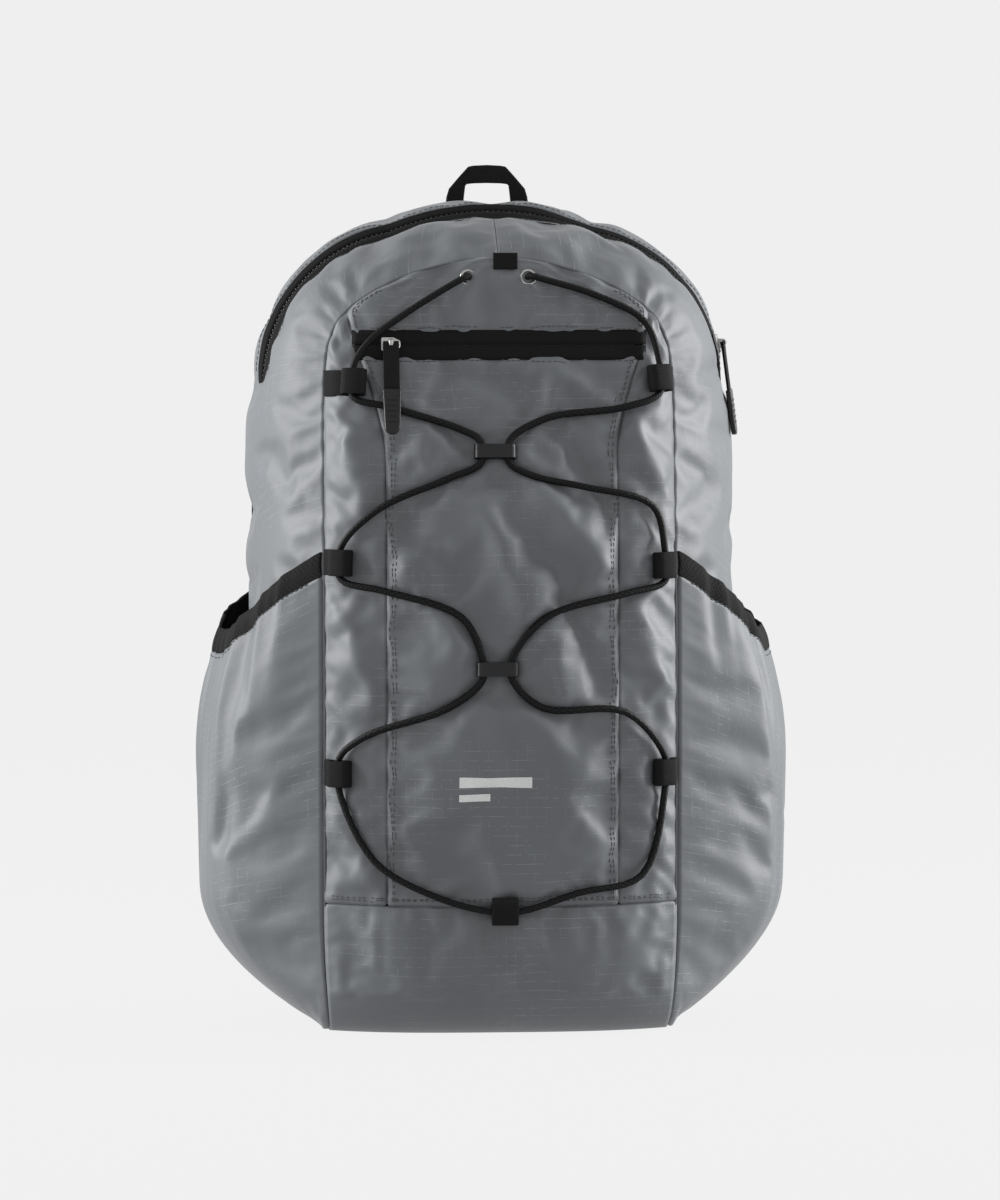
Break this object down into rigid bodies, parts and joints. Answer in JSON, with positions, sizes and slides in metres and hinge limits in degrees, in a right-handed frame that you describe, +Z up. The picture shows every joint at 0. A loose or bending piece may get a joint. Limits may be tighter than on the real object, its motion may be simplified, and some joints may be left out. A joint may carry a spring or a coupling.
{
  "type": "daypack",
  "caption": "Stuffed hiking daypack in ripstop cloth with a laced elastic cord, zipped front pocket, side pockets, padded shoulder straps and a grab handle.",
  "frame": {"origin": "middle of the base panel's flat underside, on the ground", "axes": "+Z up, -Y towards the front of the pack, +Y towards the wearer's back, +X to the right as seen from the front"},
  "size_m": [0.3418, 0.2195, 0.4964],
  "materials": {
    "ripstop": "satin grey ripstop nylon",
    "webbing": "black woven webbing",
    "cord": "black braided elastic cord",
    "zip": "black woven zip tape",
    "air_mesh": "dark grey spacer mesh",
    "foam": "closed-cell foam",
    "plastic": "black acetal",
    "nickel": "dark nickel plating",
    "reflective": "pale grey transfer film"
  },
  "bodies": {
    "pack_body": {"gusset_left": "ripstop", "gusset_right": "ripstop", "main_zip_tape_front": "zip", "main_zip_coil": "zip", "main_zip_tape_rear": "zip", "yoke_panel": "ripstop", "front_centre_panel": "ripstop", "front_strip_left": "ripstop", "front_strip_right": "ripstop", "bottom_panel": "ripstop", "pocket_inner_wall": "ripstop", "pocket_zip_tape_upper": "zip", "pocket_zip_coil": "zip", "pocket_zip_tape_lower": "zip", "side_pocket_left": "ripstop", "side_pocket_hem_left": "webbing", "side_pocket_right": "ripstop", "side_pocket_hem_right": "webbing", "loop_left_upper": "webbing", "loop_left_middle": "webbing", "loop_left_lower": "webbing", "loop_right_upper": "webbing", "loop_right_middle": "webbing", "loop_right_lower": "webbing", "loop_bottom": "webbing", "top_tab": "webbing", "eyelet_left": "nickel", "cord_knot_left": "cord", "eyelet_right": "nickel", "cord_knot_right": "cord", "elastic_cord": "cord", "cord_guide_upper": "plastic", "cord_guide_lower": "plastic", "reflective_bar": "reflective", "back_mesh": "air_mesh", "back_foam": "foam", "back_lining": "ripstop", "lower_webbing_left": "webbing", "lower_anchor_left": "webbing", "lower_webbing_right": "webbing", "lower_anchor_right": "webbing", "strap_yoke": "ripstop"},
    "pocket_zip_slider": {"pocket_zip_slider": "nickel"},
    "pocket_zip_pull": {"pocket_zip_pull_strap": "webbing", "pocket_zip_pull_grip": "plastic"},
    "main_zip_slider": {"main_zip_slider": "nickel"},
    "main_zip_pull": {"main_zip_pull_strap": "webbing", "main_zip_pull_grip": "plastic"},
    "grab_handle": {"grab_handle": "webbing"},
    "shoulder_strap_left": {"strap_pad_left": "air_mesh", "strap_webbing_left": "webbing", "lock_loop_left": "webbing"},
    "ladder_lock_left": {"ladder_lock_left": "plastic", "strap_tail_left": "webbing"},
    "shoulder_strap_right": {"strap_pad_right": "air_mesh", "strap_webbing_right": "webbing", "lock_loop_right": "webbing"},
    "ladder_lock_right": {"ladder_lock_right": "plastic", "strap_tail_right": "webbing"}
  },
  "joints": [
    {"name": "pocket_zip_slide", "type": "slide", "parent": "pack_body", "child": "pocket_zip_slider", "axis": [1, 0, 0], "range_m": [0, 0.124]},
    {"name": "pocket_pull_lift", "type": "hinge", "parent": "pocket_zip_slider", "child": "pocket_zip_pull", "pos_m": [-0.062, -0.05344, 0.39432], "axis": [-1, 0, 0], "range_deg": [0, 150]},
    {"name": "main_zip_slide", "type": "hinge", "parent": "pack_body", "child": "main_zip_slider", "pos_m": [0.0429, 0.02053, 0.3693], "axis": [0.0154, -0.9993, -0.0338], "range_deg": [0, 60]},
    {"name": "main_pull_lift", "type": "hinge", "parent": "main_zip_slider", "child": "main_zip_pull", "pos_m": [0.13478, 0.01998, 0.3929], "axis": [-0.2166, -0.9716, -0.0953], "range_deg": [0, 150]},
    {"name": "grab_handle_fold", "type": "hinge", "parent": "pack_body", "child": "grab_handle", "pos_m": [0, 0.05807, 0.47242], "axis": [1, 0, 0], "range_deg": [-60, 60], "stiffness_Nm_per_rad": 0.01},
    {"name": "shoulder_strap_lift_left", "type": "hinge", "parent": "pack_body", "child": "shoulder_strap_left", "pos_m": [-0.038, 0.076, 0.434], "axis": [1, 0, 0], "range_deg": [0, 20]},
    {"name": "ladder_lock_tilt_left", "type": "hinge", "parent": "shoulder_strap_left", "child": "ladder_lock_left", "pos_m": [-0.077, 0.0904, 0.1885], "axis": [1, 0, 0], "range_deg": [0, 30]},
    {"name": "shoulder_strap_lift_right", "type": "hinge", "parent": "pack_body", "child": "shoulder_strap_right", "pos_m": [0.038, 0.076, 0.434], "axis": [1, 0, 0], "range_deg": [0, 20]},
    {"name": "ladder_lock_tilt_right", "type": "hinge", "parent": "shoulder_strap_right", "child": "ladder_lock_right", "pos_m": [0.077, 0.0904, 0.1885], "axis": [1, 0, 0], "range_deg": [0, 30]}
  ]
}
